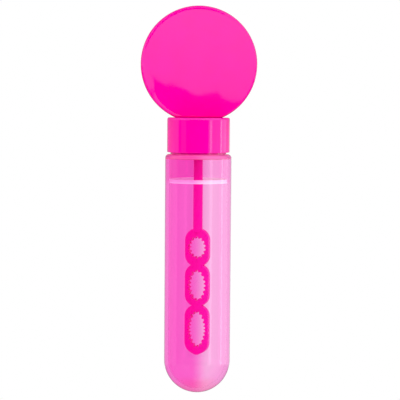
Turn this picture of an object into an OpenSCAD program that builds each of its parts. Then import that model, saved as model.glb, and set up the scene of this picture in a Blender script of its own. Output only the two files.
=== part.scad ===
// Bubble wand: a clear round-bottomed tube of bubble liquid, closed by a screw cap
// that carries a flat round disc above it and a dipping wand with three loops below it.
// Sizes are in millimetres. The origin is the tube's lowest point, +Z runs up the tube
// and the disc's two flat faces look along -Y and +Y.

/* [Tube] */
// Outside diameter of the clear tube
tube_d = 20.5; // [17.6:0.1:26]
// Thickness of the tube's wall, its round bottom and its shoulder
tube_wall = 1.2; // [0.8:0.05:1.8]
// Height of the shoulder's top above the tube's lowest point
shoulder_z = 74.3; // [64:0.5:110]
// Radius of the rounded outer corner of the shoulder
shoulder_r = 1.2; // [0.4:0.1:1.4]

/* [Neck] */
// Outside diameter of the neck between its thread's turns
neck_d = 15.4; // [12.6:0.1:17]
// Thickness of the neck's wall; the wand's loops pass through the bore inside it
neck_wall = 1.1; // [0.8:0.05:1.6]
// Plain height of the neck between its thread and its lip
neck_land = 0.7; // [0.4:0.05:3]

/* [Screw thread] */
// Rise of the thread in one turn
thread_lead = 3; // [2.5:0.1:4]
// Number of turns of each thread ridge
thread_turns = 1.5; // [1:0.25:2]
// How far each thread ridge stands out of its wall
thread_h = 0.5; // [0.3:0.05:0.8]
// Width of a thread ridge at its foot
thread_foot = 1.1; // [0.8:0.05:1.2]
// Width of a thread ridge at its crest
thread_crest = 0.5; // [0.3:0.05:0.7]

/* [Screw cap] */
// Thickness of the cap's wall behind its thread
cap_wall = 0.86; // [0.6:0.01:1.6]
// Plain height of the cap's skirt below its thread
skirt_land = 0.75; // [0.4:0.05:3]
// Thickness of the narrow band that shows below the skirt
band_wall = 0.33; // [0.3:0.01:0.9]
// Height of the band
band_h = 0.5; // [0.3:0.05:1]
// Thickness of the cap's flat top
deck_t = 1.5; // [1.2:0.1:2.5]
// Radius of the cap's rounded top edge
cap_top_r = 0.6; // [0.2:0.05:0.8]
// Thickness of the foam liner that seals the neck's lip
liner_t = 0.7; // [0.4:0.1:1.5]

/* [Wand socket] */
// Outside diameter of the socket under the cap's top
socket_d = 6.4; // [5:0.1:8]
// How far the socket reaches down below the cap's top
socket_l = 5; // [3:0.1:7]

/* [Round disc] */
// Diameter of the disc
disc_d = 35.9; // [28:0.1:50]
// Thickness of the disc between its flat faces
disc_t = 4; // [3:0.1:5.5]
// Radius of the disc's rounded rim
rim_r = 0.6; // [0.4:0.1:1.8]
// How far the disc's circle is cut off where it meets the cap
disc_sink = 1.55; // [1:0.05:2]
// Radius of the disc's two rounded lower edges, just above the cap
foot_r = 0.8; // [0.2:0.05:1]

/* [Dipping wand] */
// Diameter of the wand's round stem
stem_d = 2.8; // [2:0.1:3.4]
// Gap between the wand's tip and the inside of the tube's bottom
tip_gap = 10.65; // [1:0.05:24]
// Width of each loop across its outside
loop_w = 7.4; // [6:0.1:9]
// Thickness of the loops from face to face
loop_t = 2; // [1.2:0.1:2.6]
// Height of the lowest and longest loop, from the tip to the lower waist
low_loop_h = 15.4; // [12:0.1:20]
// Height of the middle loop, from the lower waist to the upper waist
mid_loop_h = 12.6; // [10:0.1:16]
// Height of the top loop, from the upper waist to the stem
top_loop_h = 11.2; // [9:0.1:14]
// Width of the waist between the lowest and the middle loop
low_waist = 3.1; // [2:0.1:4.4]
// Width of the waist between the middle and the top loop
top_waist = 3.7; // [2.4:0.1:4.6]
// How far the wand is turned from the disc's plane, in degrees; below 0 it faces left
wand_turn = -18; // [-60:1:60]

/* [Loop grooves] */
// Width of a loop's side from its outer edge to the tips of its teeth
limb_w = 1.45; // [0.9:0.05:1.9]
// Radius of the round grooves that hold the liquid in a loop
groove_r = 0.4; // [0.2:0.01:0.48]
// Number of grooves in the top loop
top_grooves = 14; // [8:1:17]
// Number of grooves in the middle loop
mid_grooves = 16; // [8:1:20]
// Number of grooves in the lowest loop
low_grooves = 20; // [10:1:24]

/* [Bubble liquid] */
// Height of the air space between the liquid's surface and the shoulder's top
air_h = 8.75; // [4.2:0.05:45]
// How far the liquid climbs the wall at its edge
meniscus_h = 1.1; // [0.3:0.1:1.4]

/* [Hidden] */
// Radial gap between the crests of the neck's thread and of the cap's thread
thread_gap = 0.12;
// Height between the tube's shoulder and the cap's band
skirt_gap = 0.1;
// Running gap between the wand's stem and its socket
stem_gap = 0.05;
// Gap above the stem's end in the socket
stem_end_gap = 0.1;
// Gap all round the disc's tongue in the cap's pocket
tongue_gap = 0.05;
// Gap between the liquid and the tube's wall
liquid_gap = 0.02;
// Gap between the liquid and the wand
wand_film = 0.15;
// Gap between the liner's hole and the socket, and between its rim and the cap's thread
liner_gap = 0.3;
// Overrun of every cut past the face that it opens
over = 0.4;
// Depth to which a ridge or boss is sunk into the wall that carries it
bed = 0.3;
// Width of the sloping lead-in at the socket's mouth
lead_in = 0.4;
// How far the stem's snap ring stands out of the stem
snap_h = 0.25;
// Radius of the snap ring's round section
snap_r = 0.5;
// Bevel at the top of the stem
stem_bevel = 0.3;
// Length, thickness and depth of the tongue that seats the disc in the cap
tongue_l = 9;
tongue_t = 2;
tongue_h = 0.9;
// Height of the slope under the shoulder, from the tube's bore to the neck's bore
slope_h = 0.2;
// Rounding of the corner where the stem meets the top loop
throat_r = 1;
// Height and radius of the moulding nib at the wand's tip
nib_h = 0.25;
nib_r = 1.8;
// Thickness of the end of each loop at its waist or tip, to the tips of its teeth
top_loop_head = 2.75;
top_loop_foot = 2.6;
mid_loop_end = 2;
low_loop_head = 2.25;
low_loop_foot = 2.9;
// How far a groove's centre lies outside the tips of the teeth
groove_out = 0.1;
// Share of each thread ridge over which it fades into its wall at either end
fade_share = 0.12;
// Share of the ridge's bedding that is left at its faded ends
faded_share = 0.5;
// Thread ridge stations in one turn
ridge_steps = 36;
// Fineness of round faces
round_n = 96;

tube_r = tube_d / 2;
bore_r = tube_r - tube_wall;
neck_r = neck_d / 2;
mouth_r = neck_r - neck_wall;
neck_crest_r = neck_r + thread_h;
cap_crest_r = neck_crest_r + thread_gap;
cap_bore_r = cap_crest_r + thread_h;
cap_r = cap_bore_r + cap_wall;
skirt_z = shoulder_z + band_h + skirt_gap;
cap_thread_z = skirt_z + skirt_land + thread_foot / 2;
neck_thread_z = cap_thread_z + thread_lead / 2;
lip_z = neck_thread_z + thread_lead * thread_turns + thread_foot / 2 + neck_land;
deck_z = lip_z + liner_t;
cap_top_z = deck_z + deck_t;
socket_r = socket_d / 2;
socket_z = deck_z - socket_l;
stem_r = stem_d / 2;
stem_top_z = deck_z - stem_end_gap;
snap_z = (socket_z + deck_z) / 2;
snap_centre_r = stem_r + snap_h - snap_r;
liner_in_r = socket_r + liner_gap;
liner_out_r = cap_crest_r - liner_gap;
disc_r = disc_d / 2;
disc_z = cap_top_z + disc_r - disc_sink;
loop_r = loop_w / 2;
tip_z = tube_wall + tip_gap;
low_waist_z = tip_z + low_loop_h;
top_waist_z = low_waist_z + mid_loop_h;
throat_z = top_waist_z + top_loop_h;
fill_z = shoulder_z - air_h;
ridge_n = round(ridge_steps * thread_turns);

$fn = round_n;

// Distance from a round end's centre to the chord of the given width.
function chord_drop(r, w) = sqrt(r * r - w * w / 4);

// How far a thread ridge has risen at the share t of its length: 0 at its ends, 1 between.
function fade(t) = min(1, t / fade_share, (1 - t) / fade_share);

// Crest height of a thread ridge at the share t; its faded ends lie inside the wall.
function crest(t) = -bed * faded_share + (thread_h + bed * faded_share) * fade(t);

// The four corners of a ridge's section at the share t. side is 1 for a ridge that
// stands outwards and -1 for one that stands inwards.
function section(t, wall_r, z_low, side) = let (
    a = 360 * thread_turns * t,
    z = z_low + thread_lead * thread_turns * t,
    foot_r = wall_r - side * bed,
    top_r = wall_r + side * crest(t)
) [
    [foot_r * cos(a), foot_r * sin(a), z - thread_foot / 2],
    [top_r * cos(a), top_r * sin(a), z - thread_crest / 2],
    [top_r * cos(a), top_r * sin(a), z + thread_crest / 2],
    [foot_r * cos(a), foot_r * sin(a), z + thread_foot / 2]
];

// Turns a face's corners round, for a ridge that stands inwards.
function wound(face, side) = side > 0 ? face : [face[2], face[1], face[0]];

// A right-hand helical ridge on a round wall, as one closed band of triangles.
module thread_ridge(wall_r, z_low, side) {
    points = [
        for (i = [0 : ridge_n])
            for (p = section(i / ridge_n, wall_r, z_low, side)) p
    ];
    sides = [
        for (i = [0 : ridge_n - 1])
            for (k = [0 : 3])
                for (
                    face = [
                        [4 * i + k, 4 * i + (k + 1) % 4, 4 * i + 4 + k],
                        [4 * i + (k + 1) % 4, 4 * i + 4 + (k + 1) % 4, 4 * i + 4 + k]
                    ]
                ) wound(face, side)
    ];
    last = 4 * ridge_n;
    ends = [
        wound([0, 2, 1], side),
        wound([0, 3, 2], side),
        wound([last, last + 1, last + 2], side),
        wound([last, last + 2, last + 3], side)
    ];
    polyhedron(points = points, faces = concat(sides, ends));
}

// Outline of the solid tube in the half-plane right of its axis.
module tube_outline() {
    intersection() {
        translate([0, tube_r]) circle(r = tube_r);
        square([tube_r, tube_r]);
    }
    translate([0, tube_r]) square([tube_r, shoulder_z - shoulder_r - tube_r]);
    square_top = tube_r - shoulder_r;
    translate([0, tube_r]) square([square_top, shoulder_z - tube_r]);
    translate([square_top, shoulder_z - shoulder_r]) circle(r = shoulder_r);
    translate([0, shoulder_z - bed]) square([neck_r, lip_z - shoulder_z + bed]);
}

// Outline of the space inside the tube, up past its lip.
module tube_space() {
    slope_z = shoulder_z - tube_wall;
    intersection() {
        translate([0, tube_r]) circle(r = bore_r);
        translate([0, tube_r - bore_r]) square([bore_r, bore_r]);
    }
    translate([0, tube_r]) square([bore_r, slope_z - slope_h - tube_r]);
    polygon([
        [0, slope_z - slope_h],
        [bore_r, slope_z - slope_h],
        [mouth_r, slope_z],
        [0, slope_z]
    ]);
    translate([0, slope_z]) square([mouth_r, lip_z + over - slope_z]);
}

// The clear tube, with its round bottom, shoulder and threaded neck.
module bottle() {
    color([0.98, 0.45, 0.78, 0.45])
    union() {
        rotate_extrude()
            difference() {
                tube_outline();
                tube_space();
            }
        thread_ridge(neck_r, neck_thread_z, 1);
    }
}

// Outline of one loop: two round ends joined by straight sides. drop_low and drop_high
// are the distances from the loop's two ends to the centres of its round ends.
module loop_outline(z_low, z_high, drop_low, drop_high, grow) {
    r = loop_r + grow;
    translate([0, z_low + drop_low]) circle(r = r);
    translate([0, z_high - drop_high]) circle(r = r);
    translate([-r, z_low + drop_low]) square([2 * r, z_high - drop_high - z_low - drop_low]);
}

// Radius of the long side arcs of an oval with half-width a and half-height b, which
// run smoothly into end circles of radius e.
function side_arc(a, b, e) = ((b - e) * (b - e) + a * a - e * e) / (2 * (a - e));

// An oval of half-width a and half-height b, whichever of the two is the longer.
module oval(a, b) {
    if (a < b)
        tall_oval(a, b);
    else if (a > b)
        rotate(90) tall_oval(b, a);
    else
        circle(r = a);
}

// An oval taller than it is wide. Its end circles curve as an ellipse would.
module tall_oval(a, b) {
    e = a * a / b;
    s = side_arc(a, b, e);
    turn_z = (b - e) * s / (s - e);
    intersection() {
        translate([a - s, 0]) circle(r = s);
        translate([s - a, 0]) circle(r = s);
        translate([-a, -turn_z]) square([2 * a, 2 * turn_z]);
    }
    for (way = [-1, 1])
        translate([0, way * (b - e)]) circle(r = e);
}

// A loop's hole: an oval to the tips of the teeth, with round grooves evenly spaced
// along its edge. from_groove is 1 when a groove lies at the hole's top.
module grooved_hole(z_low, z_high, count, from_groove) {
    a = loop_r - limb_w;
    b = (z_high - z_low) / 2;
    lean = (b - a) / (b + a) * 90 / PI;
    translate([0, (z_low + z_high) / 2]) {
        oval(a, b);
        for (i = [0 : count - 1]) {
            u = 360 * (i + (1 - from_groove) / 2) / count;
            t = u + lean * sin(2 * u);
            translate([(a + groove_out) * sin(t), (b + groove_out) * cos(t)])
                circle(r = groove_r, $fn = 24);
        }
    }
}

// The three loops seen face on. grow widens them, for the space that they need.
module loops_outline(grow) {
    loop_outline(
        tip_z + nib_h, low_waist_z,
        loop_r, chord_drop(loop_r, low_waist), grow
    );
    translate([0, tip_z + nib_r]) circle(r = nib_r + grow, $fn = 48);
    loop_outline(
        low_waist_z, top_waist_z,
        chord_drop(loop_r, low_waist), chord_drop(loop_r, top_waist), grow
    );
    loop_outline(
        top_waist_z, throat_z,
        chord_drop(loop_r, top_waist), chord_drop(loop_r, stem_d), grow
    );
}

// The dipping wand: a round stem with a snap ring, and three flat grooved loops.
module dipping_wand() {
    stem_low_z = throat_z - throat_r;
    color([0.9, 0, 0.5])
    rotate([0, 0, wand_turn])
    union() {
        translate([0, loop_t / 2, 0])
            rotate([90, 0, 0])
                linear_extrude(height = loop_t)
                    difference() {
                        loops_outline(0);
                        grooved_hole(
                            tip_z + low_loop_foot, low_waist_z - low_loop_head,
                            low_grooves, 0
                        );
                        grooved_hole(
                            low_waist_z + mid_loop_end, top_waist_z - mid_loop_end,
                            mid_grooves, 1
                        );
                        grooved_hole(
                            top_waist_z + top_loop_foot, throat_z - top_loop_head,
                            top_grooves, 1
                        );
                    }
        translate([0, 0, stem_low_z])
            cylinder(r = stem_r, h = stem_top_z - stem_bevel - stem_low_z);
        translate([0, 0, stem_top_z - stem_bevel])
            cylinder(r1 = stem_r, r2 = stem_r - stem_bevel, h = stem_bevel);
        rotate_extrude()
            translate([snap_centre_r, snap_z])
                circle(r = snap_r, $fn = 48);
    }
}

// The space that the wand takes up in the liquid. The liquid fills the loops' holes
// up to a film's width from the tips of their teeth.
module wand_space() {
    thick = loop_t + 2 * wand_film;
    a = loop_r - limb_w - wand_film;
    rotate([0, 0, wand_turn]) {
        translate([0, thick / 2, 0])
            rotate([90, 0, 0])
                linear_extrude(height = thick)
                    difference() {
                        loops_outline(wand_film);
                        loop_plug(tip_z + low_loop_foot, low_waist_z - low_loop_head, a);
                        loop_plug(low_waist_z + mid_loop_end, top_waist_z - mid_loop_end, a);
                        loop_plug(top_waist_z + top_loop_foot, throat_z - top_loop_head, a);
                    }
        stem_low_z = throat_z - throat_r;
        translate([0, 0, stem_low_z])
            cylinder(r = stem_r + wand_film, h = lip_z - stem_low_z);
    }
}

// The liquid inside one loop, seen face on.
module loop_plug(z_low, z_high, a) {
    translate([0, (z_low + z_high) / 2])
        oval(a, (z_high - z_low) / 2 - wand_film);
}

// The bubble liquid, with its surface climbing a little at the wall.
module bubble_liquid() {
    r = bore_r - liquid_gap;
    color([1, 0.55, 0.85, 0.5])
    difference() {
        rotate_extrude()
            union() {
                intersection() {
                    translate([0, tube_r]) circle(r = r);
                    translate([0, tube_r - r]) square([r, r]);
                }
                translate([0, tube_r]) square([r, fill_z - tube_r]);
                difference() {
                    translate([r - meniscus_h, fill_z - bed])
                        square([meniscus_h, meniscus_h + bed]);
                    translate([r - meniscus_h, fill_z + meniscus_h])
                        circle(r = meniscus_h);
                }
            }
        wand_space();
    }
}

// The foam liner that is squeezed between the neck's lip and the cap's top.
module cap_liner() {
    color([0.96, 0.95, 0.93])
    translate([0, 0, lip_z])
        difference() {
            cylinder(r = liner_out_r, h = liner_t);
            translate([0, 0, -over])
                cylinder(r = liner_in_r, h = liner_t + 2 * over);
        }
}

// Outline of the cap's shell, with a rounded top edge and the band set in below its
// skirt, in the half-plane right of its axis.
module cap_outline() {
    difference() {
        union() {
            translate([0, skirt_z]) square([cap_r, cap_top_z - cap_top_r - skirt_z]);
            translate([0, skirt_z]) square([cap_r - cap_top_r, cap_top_z - skirt_z]);
            translate([cap_r - cap_top_r, cap_top_z - cap_top_r]) circle(r = cap_top_r);
        }
        translate([0, skirt_z - over]) square([cap_bore_r, deck_z - skirt_z + over]);
    }
    translate([cap_crest_r, skirt_z]) square([cap_bore_r - cap_crest_r + bed, bed]);
    translate([cap_crest_r, skirt_z - band_h]) square([band_wall, band_h + bed]);
    translate([0, socket_z]) square([socket_r, socket_l + bed]);
}

// Outline of the wand's socket and its groove for the stem's snap ring.
module socket_space() {
    hole_r = stem_r + stem_gap;
    translate([0, socket_z - over]) square([hole_r, socket_l + over]);
    polygon([
        [0, socket_z - over],
        [hole_r + lead_in + over, socket_z - over],
        [hole_r, socket_z + lead_in],
        [0, socket_z + lead_in]
    ]);
    translate([snap_centre_r, snap_z]) circle(r = snap_r + stem_gap, $fn = 48);
}

// The screw cap, with its thread, its band, the wand's socket and the disc's pocket.
module screw_cap() {
    pocket_l = tongue_l + 2 * tongue_gap;
    pocket_t = tongue_t + 2 * tongue_gap;
    pocket_h = tongue_h + tongue_gap;
    color([1, 0, 0.65])
    difference() {
        union() {
            rotate_extrude()
                difference() {
                    cap_outline();
                    socket_space();
                }
            thread_ridge(cap_bore_r, cap_thread_z, -1);
        }
        translate([-pocket_l / 2, -pocket_t / 2, cap_top_z - pocket_h])
            cube([pocket_l, pocket_t, pocket_h + over]);
    }
}

// Outline of the disc's section from its axis to its rounded rim.
module disc_outline() {
    translate([0, -disc_t / 2]) square([disc_r - rim_r, disc_t]);
    translate([0, rim_r - disc_t / 2]) square([disc_r, disc_t - 2 * rim_r]);
    for (way = [-1, 1])
        translate([disc_r - rim_r, way * (disc_t / 2 - rim_r)])
            circle(r = rim_r, $fn = 48);
}

// The disc's upright profile from side to side: level below, with rounded lower edges.
module foot_outline() {
    for (way = [-1, 1])
        translate([way * (disc_t / 2 - foot_r), cap_top_z + foot_r])
            circle(r = foot_r, $fn = 48);
    translate([foot_r - disc_t / 2, cap_top_z])
        square([disc_t - 2 * foot_r, disc_d]);
    translate([-disc_t / 2, cap_top_z + foot_r])
        square([disc_t, disc_d]);
}

// The flat round disc, cut level where it stands on the cap, with the tongue below it.
module head_disc() {
    color([1, 0.05, 0.67])
    union() {
        intersection() {
            translate([0, 0, disc_z])
                rotate([90, 0, 0])
                    rotate_extrude()
                        disc_outline();
            translate([-disc_r - over, 0, 0])
                rotate([90, 0, 90])
                    linear_extrude(height = disc_d + 2 * over)
                        foot_outline();
        }
        translate([-tongue_l / 2, -tongue_t / 2, cap_top_z - tongue_h])
            cube([tongue_l, tongue_t, tongue_h + bed]);
    }
}

bottle();
bubble_liquid();
cap_liner();
dipping_wand();
screw_cap();
head_disc();
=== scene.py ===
"""Dresses the packed bubble wand: smooth pieces, their finishes and a plain studio."""

import math

import bmesh
import bpy
import numpy as np
from mathutils import Matrix, Vector


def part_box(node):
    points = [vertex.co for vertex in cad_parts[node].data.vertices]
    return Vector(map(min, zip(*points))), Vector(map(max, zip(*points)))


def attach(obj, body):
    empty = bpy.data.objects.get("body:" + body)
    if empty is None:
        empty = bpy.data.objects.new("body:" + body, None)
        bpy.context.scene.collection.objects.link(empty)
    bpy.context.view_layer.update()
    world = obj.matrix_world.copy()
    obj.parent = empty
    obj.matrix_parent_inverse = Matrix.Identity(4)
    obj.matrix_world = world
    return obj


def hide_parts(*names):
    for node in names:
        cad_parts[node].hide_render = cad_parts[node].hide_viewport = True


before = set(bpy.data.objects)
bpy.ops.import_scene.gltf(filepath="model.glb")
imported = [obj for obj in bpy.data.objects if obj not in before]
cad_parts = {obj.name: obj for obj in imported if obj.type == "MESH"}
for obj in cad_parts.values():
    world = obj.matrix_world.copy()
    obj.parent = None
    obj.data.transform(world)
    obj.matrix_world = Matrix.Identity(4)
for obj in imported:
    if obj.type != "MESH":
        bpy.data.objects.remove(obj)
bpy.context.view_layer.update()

bl_info = {
    "name": "Bubble wand",
    "version": (1, 0, 0),
    "blender": (4, 5, 0),
    "location": "3D View > Sidebar > Bubble wand",
    "description": "Builds a bubble wand's tube, liquid, wand, cap and disc, and a plain studio",
    "category": "Object",
}

# Lengths are in metres.
MM = 0.001
SAME = 1e-7  # points closer than this, in metres, are one point
OVER = 1 * MM  # how far a cutter runs past what it cuts
# Stations round a turned piece, round the stem and the floor, and for each groove.
ROUND, FEW_ROUND, GROOVE_ROUND = 256, 96, 24
# Steps of a quarter circle, from the tube's bottom to the smallest edges.
BOTTOM_ARC, PLAIN_ARC, RIM_ARC, EDGE_ARC, FOOT_ARC, SMALL_ARC = 48, 24, 20, 16, 12, 8
SECTION_POINTS = 7  # points of a loop's rounded corner
# Longest steps along the walls. Where a gloss shows a wall's slope they are short.
LONG_STEP, MOUTH_STEP, LEVEL_STEP, SLOPE_STEP = 3 * MM, 2 * MM, 1 * MM, 0.5 * MM
THREAD_STEP, CAP_SIDE_STEP, CAP_TOP_STEP = 0.12 * MM, 0.15 * MM, 0.3 * MM
BACK_STEP, RIM_STEP, FACE_STEP = 0.6 * MM, 0.5 * MM, 0.15 * MM
DIP_STEP, DIP_ZONE = 0.06 * MM, 1.2 * MM  # the disc's face just inside its rim
GUARD, GUARD_STEP = 0.5 * MM, 0.05 * MM  # the tube's wall just below its shoulder
# Angles, in degrees, from which an edge is sharp.
SHARP, WAND_SHARP, LIQUID_SHARP = 32, 38, 50
THREAD_LEAD, THREAD_TURNS, THREAD_HEIGHT = 3 * MM, 1.5, 0.5 * MM
THREAD_FOOT, THREAD_CREST = 1.1 * MM, 0.5 * MM  # the ridge's widths
THREAD_FADE = 0.12  # share of the thread over which it fades at either end
TOOTH_ROUND = 0.03 * MM
FLAT_SHARE = 1.2  # where a flat's first point lies, in edge radii from the corner
DISC_LEVEL = 94 * MM  # the height about which the disc's face leans
# How the disc's face leans on its way to the right.
LEAN_X = np.array([-13.7, -10.2, -8.3, -4.2, -0.4, 2.8, 5.9, 7.5, 10.3, 12.7]) * MM
LEAN = np.array([3.7, 1.7, 2.1, 0.3, -1.6, -0.8, -0.4, -2.4, -3.3, -3.1]) * 0.001
# The face dips just inside the rim, from the top round the left to the foot. The upper
# left dip is steep and narrow. The lower left one leans little, and is widest at an angle.
STEEP, STEEP_WIDTH = 0.05, 0.5 * MM
STEEP_ANGLES, STEEP_SHARES = (40, 80, 150, 180), (0, 1, 1, 0)  # degrees from the right
GENTLE, GENTLE_WIDTH, WIDEST, SPREAD = 0.016, 0.6 * MM, math.radians(200), math.radians(16)
GENTLE_EXTRA = 1.7 * MM
SIDE_LIGHT_LEFT, SIDE_LIGHT_RIGHT = -2 * MM, 3.4 * MM  # where the tube's tint runs from deep to pale: painted shade on the left, painted light on the right
DRY_SHADE_EDGE, DRY_SHADE_RIGHT = 0.6 * MM, 0.5  # where the dry tint, a painted shade above the liquid, starts, and its share on the right
DYE_DENSITY = 500  # in 1/m: 2 mm of the dye leave e^(colour - 1) of the light
BLUSH_FULL, BLUSH_END = 1.6 * MM, 4 * MM  # heights between which the bottom's tint fades
PAINTED_GLEAM_CLEAR = 0.05  # how clear the white film on the liquid is, a painted highlight for the light its surface reflects
PAINTED_GLEAM_LOW, PAINTED_GLEAM_FULL = 0.1 * MM, 0.05 * MM  # depths at which it starts and is full
RING_EDGE, RING_CLEAR = 0.1 * MM, 0.25  # the shoulder's ring, whose painted glow stands in for the light it carries: its fade and its clearness
PIGMENT_SHADE = 0.94  # the darker flow clouds' share of the plastic's colour
PAINTED_SHADE_SHARE = 0.7  # the same for the painted shade on the disc's rim and the cap's band
PAINTED_SHADE_START, PAINTED_SHADE_FULL, BAND_EDGE = 0.4 * MM, 0.2 * MM, 0.02 * MM  # where the painted shade darkens them
# Indices of refraction: dyed polystyrene, the liquid, dry and wet polypropylene.
CLEAR_INDEX, LIQUID_INDEX, DRY_INDEX, WET_INDEX = 1.42, 1.04, 1.49, 1.15
# Roughness, alone or as its least and greatest.
WALL_ROUGH, LIQUID_ROUGH, GLOSS, SATIN = 0.02, 0.01, (0.01, 0.03), (0.2, 0.3)
FOAM_ROUGH, PAPER_ROUGH = (0.7, 0.9), (0.8, 0.9)
# Sizes of the noise in each finish, and the heights that its bump gives it.
FLOW, FLOW_STRETCH, FLOW_HEIGHT = 3 * MM, 8, 0.01 * MM
HAZE, HAZE_HEIGHT = 6 * MM, 0.005 * MM
CLOUD, CLOUD_DETAIL = 5 * MM, 3
GRAIN, GRAIN_HEIGHT = 1.2 * MM, 0.0002 * MM
CELL, CELL_HEIGHT = 0.3 * MM, 0.05 * MM
FIBRE, FIBRE_HEIGHT = 1 * MM, 0.02 * MM
FLOW_PALE, HAZE_PALE = 0.1, 0.2  # how much the noise pales the tube and the liquid
# Colours of the light that passes the tube, the liquid and the cap's thin wall.
TUBE_PASSES, LIQUID_PASSES, CAP_PASSES = (1, 0.88, 0.96), (1, 0.98, 0.99), (0.85, 0.25, 0.6)
WHITE = (1, 1, 1)
# Settings that several nodes share: noise values between which a finish changes, a
# smooth change, a mix of colours and a product of colours.
MOTTLED, PIGMENTED = {1: 0.3, 2: 0.7}, {1: 0.35, 2: 0.65}
SMOOTH = {"interpolation_type": "SMOOTHSTEP"}
MIXED = {"output": 2, "data_type": "RGBA"}
TIMES = {"output": 2, "data_type": "RGBA", "blend_type": "MULTIPLY"}
FLOOR_GLOW = 0.35  # what the floor adds, for the camera, to the light that falls on it
FLOOR_STEP = 50 * MM
CAMERA_LENS, CAMERA_CLIP = 145.3, 0.01
CAMERA_AIM = (0.000612, 0, 0.060057)
CAMERA_ROLL = 0.411  # degrees
# Each softbox's bearings with their softness, its heights with theirs, and its strength.
SOFTBOXES = (
    (-200, 200, 1, -95, -14, 3, 0.95),
    (-100, 100, 20, -95, -14, 3, 0.25),
    (-200, 200, 1, 0.23, 95, 0.02, 0.8),
    (-100, 100, 20, 0.23, 95, 0.02, 0.15),
    (-100, 100, 20, 1.6, 95, 1.4, 0.3),
    (-75, 75, 20, 14, 60, 8, 0.45),
    (38, 125, 4, -14, 0.23, 2, 0.8),
    (43, 51, 1.5, -14, 0.23, 2, 2.0),
    (89, 96, 1.5, -14, 0.23, 2, 3.2),
    (97, 125, 3, -14, 0.23, 2, 0.9),
    (125, 200, 3, -14, 0.23, 2, 0.75),
    (-200, -78, 4, -14, 0.23, 2, 0.55),
    (-68, -46, 3, -14, 0.23, 2, 0.15),
)
# The same for the flags, which take a share of that light out of what shows in gloss.
FLAGS = (
    (-200, 200, 1, -95, -14, 3, 0.7),
    (-75, 75, 20, 14, 60, 8, 0.35),
    (-75, 10, 4, 20, 74, 5, 0.6),
    (120, 200, 12, 0.23, 64, 8, 0.6),
    (-200, -120, 12, 0.23, 64, 8, 0.6),
)
LOW_GLOSS = 0.3  # how much of the floor's white shows in gloss
# The white towards the front for light that a clear wall has turned back, and the share
# of the way to the back over which it grows to the full white there.
FRONT_WHITE, BACK_EDGE = 0.5, 0.1


def linear(code):
    """A six-digit sRGB hex colour as linear red, green and blue."""
    parts = np.array([int(code[i : i + 2], 16) for i in (1, 3, 5)]) / 255
    low = parts / 12.92
    high = ((parts + 0.055) / 1.055) ** 2.4
    return tuple(float(c) for c in np.where(parts <= 0.04045, low, high))


def framed(node, corner, axis):
    """A corner's coordinate of a CAD node's box, to a hundredth of a millimetre."""
    return round(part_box(node)[corner][axis], 5)


def length(label, what, default, low=0.0):
    """A length property in metres."""
    return bpy.props.FloatProperty(
        name=label, description=what, default=default, min=low, unit="LENGTH", precision=5
    )


def colour(label, what, code):
    """A colour property from an sRGB hex colour."""
    return bpy.props.FloatVectorProperty(
        name=label, description=what, default=linear(code), min=0, max=1, subtype="COLOR"
    )


class TubeSettings(bpy.types.PropertyGroup):
    """Sizes and colours of the clear tube."""

    diameter: length("Diameter", "Outside diameter", 2 * framed("bottle", 1, 0))
    wall: length("Wall", "Thickness of the wall", 1.2 * MM)
    shoulder: length("Shoulder", "Height of the shoulder's top", 74.3 * MM)
    shoulder_round: length("Shoulder radius", "Rounding of the shoulder", 1.2 * MM)
    slope: length("Slope", "Height of the slope under the shoulder", 0.2 * MM)
    lip: length("Lip", "Height of the neck's lip", framed("bottle", 1, 2))
    neck: length("Neck", "Outside diameter of the neck", 15.4 * MM)
    neck_wall: length("Neck wall", "Thickness of the neck's wall", 1.1 * MM)
    lip_round: length("Lip rounding", "Rounding of the lip", 0.12 * MM)
    neck_thread: length("Neck thread", "Height at which its thread starts", 77.7 * MM)
    dye: colour("Dye", "Colour of the dye in the plastic", "#FFA4ED")
    # Painted light and shade: the deep tint darkens the left and the pale tint lightens the
    # right, for light that falls from the right. The dry tint is painted shade above the liquid.
    deep: colour("Deep tint", "Surface tint on the left", "#FFBAEE")
    pale: colour("Pale tint", "Surface tint on the right", "#FFFFFD")
    dry: colour("Dry tint", "What the wall's colour is multiplied by above the liquid", "#FCD8F3")
    blush: colour("Blush", "What the wall's colour is multiplied by at the bottom", "#FFF2E8")
    # Painted light: the ring's colour stands in for the glow of the light that the shoulder's
    # ring leads around in itself.
    ring: colour("Ring", "What the wall's colour is multiplied by in the shoulder", "#FF78C8")


class LiquidSettings(bpy.types.PropertyGroup):
    """Level and colour of the bubble liquid."""

    level: length("Level", "Height of the liquid's surface", 65.55 * MM)
    climb: length("Climb", "How far the liquid climbs the wall", 1.1 * MM)
    gap: length("Gap", "Gap to the tube's wall", 0.02 * MM)
    body: colour("Colour", "Colour of the liquid", "#FFFAFE")


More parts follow.
